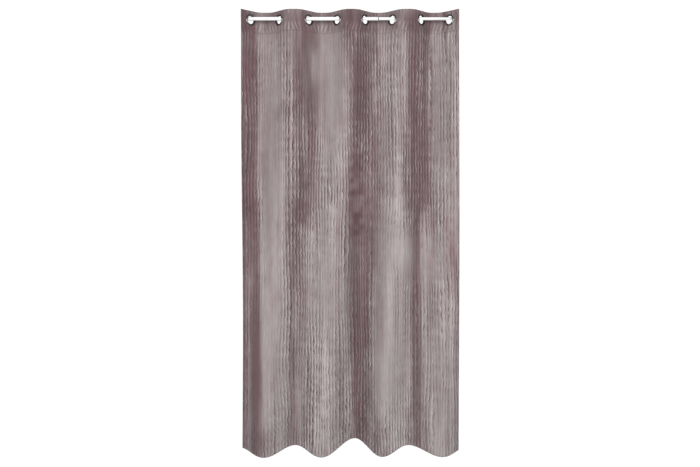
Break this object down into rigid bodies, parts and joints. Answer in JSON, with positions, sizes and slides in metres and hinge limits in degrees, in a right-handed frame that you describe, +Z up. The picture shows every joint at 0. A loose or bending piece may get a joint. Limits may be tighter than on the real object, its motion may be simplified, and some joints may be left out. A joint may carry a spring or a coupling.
{
  "type": "curtain panel",
  "caption": "Floor-length crinkled velvet curtain panel with metal eyelets along its stiffened header, hanging in soft folds from a telescopic rod.",
  "frame": {"origin": "on the rod's axis, halfway along the gathered panel", "axes": "+Z up, +X along the rod to the viewer's right, -Y out of the panel's front face"},
  "size_m": [1.2564, 0.1525, 2.503],
  "materials": {
    "velvet": "crinkled mauve-taupe velour with a soft sheen",
    "header_tape": "stiff woven header tape",
    "eyelet_metal": "polished dark nickel-plated steel",
    "rod_lacquer": "white lacquered steel, satin gloss",
    "collar_plastic": "grey moulded nylon",
    "plug_rubber": "soft white end pad"
  },
  "bodies": {
    "rod": {"rod_outer_tube": "rod_lacquer", "rod_collar": "collar_plastic", "rod_left_plug": "plug_rubber", "panel_fold_1": "velvet", "header_tape_1": "header_tape", "header_facing_1": "velvet", "bottom_hem_1": "velvet", "side_hem_left": "velvet"},
    "fold_2": {"panel_fold_2": "velvet", "header_tape_2": "header_tape", "header_facing_2": "velvet", "bottom_hem_2": "velvet"},
    "fold_3": {"panel_fold_3": "velvet", "header_tape_3": "header_tape", "header_facing_3": "velvet", "bottom_hem_3": "velvet"},
    "fold_4": {"panel_fold_4": "velvet", "header_tape_4": "header_tape", "header_facing_4": "velvet", "bottom_hem_4": "velvet"},
    "fold_5": {"panel_fold_5": "velvet", "header_tape_5": "header_tape", "header_facing_5": "velvet", "bottom_hem_5": "velvet"},
    "fold_6": {"panel_fold_6": "velvet", "header_tape_6": "header_tape", "header_facing_6": "velvet", "bottom_hem_6": "velvet"},
    "fold_7": {"panel_fold_7": "velvet", "header_tape_7": "header_tape", "header_facing_7": "velvet", "bottom_hem_7": "velvet"},
    "fold_8": {"panel_fold_8": "velvet", "header_tape_8": "header_tape", "header_facing_8": "velvet", "bottom_hem_8": "velvet", "side_hem_right": "velvet"},
    "eyelet_1": {"eyelet_ring_1": "eyelet_metal", "eyelet_washer_1": "eyelet_metal"},
    "eyelet_2": {"eyelet_ring_2": "eyelet_metal", "eyelet_washer_2": "eyelet_metal"},
    "eyelet_3": {"eyelet_ring_3": "eyelet_metal", "eyelet_washer_3": "eyelet_metal"},
    "eyelet_4": {"eyelet_ring_4": "eyelet_metal", "eyelet_washer_4": "eyelet_metal"},
    "eyelet_5": {"eyelet_ring_5": "eyelet_metal", "eyelet_washer_5": "eyelet_metal"},
    "eyelet_6": {"eyelet_ring_6": "eyelet_metal", "eyelet_washer_6": "eyelet_metal"},
    "eyelet_7": {"eyelet_ring_7": "eyelet_metal", "eyelet_washer_7": "eyelet_metal"},
    "eyelet_8": {"eyelet_ring_8": "eyelet_metal", "eyelet_washer_8": "eyelet_metal"},
    "rod_extension": {"rod_inner_tube": "rod_lacquer", "rod_right_plug": "plug_rubber"}
  },
  "joints": [
    {"name": "rod_extend", "type": "slide", "parent": "rod", "child": "rod_extension", "axis": [1, 0, 0], "range_m": [0, 0.25]},
    {"name": "draw", "type": "slide", "parent": "rod", "child": "fold_8", "axis": [-1, 0, 0], "range_m": [0, 0.8375], "deforming": ["panel_fold_8", "header_tape_8", "header_facing_8", "bottom_hem_8", "panel_fold_1", "header_tape_1", "header_facing_1", "bottom_hem_1", "side_hem_left", "side_hem_right"]},
    {"name": "draw_2", "type": "slide", "parent": "rod", "child": "fold_2", "axis": [-1, 0, 0], "range_m": [0, 0.1221], "deforming": ["panel_fold_2", "header_tape_2", "header_facing_2", "bottom_hem_2"]},
    {"name": "draw_3", "type": "slide", "parent": "rod", "child": "fold_3", "axis": [-1, 0, 0], "range_m": [0, 0.246], "deforming": ["panel_fold_3", "header_tape_3", "header_facing_3", "bottom_hem_3"]},
    {"name": "draw_4", "type": "slide", "parent": "rod", "child": "fold_4", "axis": [-1, 0, 0], "range_m": [0, 0.3661], "deforming": ["panel_fold_4", "header_tape_4", "header_facing_4", "bottom_hem_4"]},
    {"name": "draw_5", "type": "slide", "parent": "rod", "child": "fold_5", "axis": [-1, 0, 0], "range_m": [0, 0.4831], "deforming": ["panel_fold_5", "header_tape_5", "header_facing_5", "bottom_hem_5"]},
    {"name": "draw_6", "type": "slide", "parent": "rod", "child": "fold_6", "axis": [-1, 0, 0], "range_m": [0, 0.5986], "deforming": ["panel_fold_6", "header_tape_6", "header_facing_6", "bottom_hem_6"]},
    {"name": "draw_7", "type": "slide", "parent": "rod", "child": "fold_7", "axis": [-1, 0, 0], "range_m": [0, 0.7195], "deforming": ["panel_fold_7", "header_tape_7", "header_facing_7", "bottom_hem_7"]},
    {"name": "turn_1", "type": "hinge", "parent": "rod", "child": "eyelet_1", "pos_m": [-0.552, 0, -0.007], "axis": [0, 0, 1], "range_deg": [0, 32.18]},
    {"name": "turn_2", "type": "hinge", "parent": "fold_2", "child": "eyelet_2", "pos_m": [-0.392, 0, -0.007], "axis": [0, 0, 1], "range_deg": [-32.18, 0]},
    {"name": "turn_3", "type": "hinge", "parent": "fold_3", "child": "eyelet_3", "pos_m": [-0.229, 0, -0.007], "axis": [0, 0, 1], "range_deg": [0, 32.18]},
    {"name": "turn_4", "type": "hinge", "parent": "fold_4", "child": "eyelet_4", "pos_m": [-0.071, 0, -0.007], "axis": [0, 0, 1], "range_deg": [-32.18, 0]},
    {"name": "turn_5", "type": "hinge", "parent": "fold_5", "child": "eyelet_5", "pos_m": [0.083, 0, -0.007], "axis": [0, 0, 1], "range_deg": [0, 32.18]},
    {"name": "turn_6", "type": "hinge", "parent": "fold_6", "child": "eyelet_6", "pos_m": [0.235, 0, -0.007], "axis": [0, 0, 1], "range_deg": [-32.18, 0]},
    {"name": "turn_7", "type": "hinge", "parent": "fold_7", "child": "eyelet_7", "pos_m": [0.394, 0, -0.007], "axis": [0, 0, 1], "range_deg": [0, 32.18]},
    {"name": "turn_8", "type": "hinge", "parent": "fold_8", "child": "eyelet_8", "pos_m": [0.55, 0, -0.007], "axis": [0, 0, 1], "range_deg": [-32.18, 0]}
  ],
  "couplings": [
    {"joint": "draw_2", "follows": "draw", "ratio": 0.14519},
    {"joint": "draw_3", "follows": "draw", "ratio": 0.2931},
    {"joint": "draw_4", "follows": "draw", "ratio": 0.43648},
    {"joint": "draw_5", "follows": "draw", "ratio": 0.57623},
    {"joint": "draw_6", "follows": "draw", "ratio": 0.71416},
    {"joint": "draw_7", "follows": "draw", "ratio": 0.85844},
    {"joint": "turn_1", "follows": "draw", "rad_per_m": 0.66963},
    {"joint": "turn_2", "follows": "draw", "rad_per_m": -0.66963},
    {"joint": "turn_3", "follows": "draw", "rad_per_m": 0.66963},
    {"joint": "turn_4", "follows": "draw", "rad_per_m": -0.66963},
    {"joint": "turn_5", "follows": "draw", "rad_per_m": 0.66963},
    {"joint": "turn_6", "follows": "draw", "rad_per_m": -0.66963},
    {"joint": "turn_7", "follows": "draw", "rad_per_m": 0.66963},
    {"joint": "turn_8", "follows": "draw", "rad_per_m": -0.66963}
  ]
}
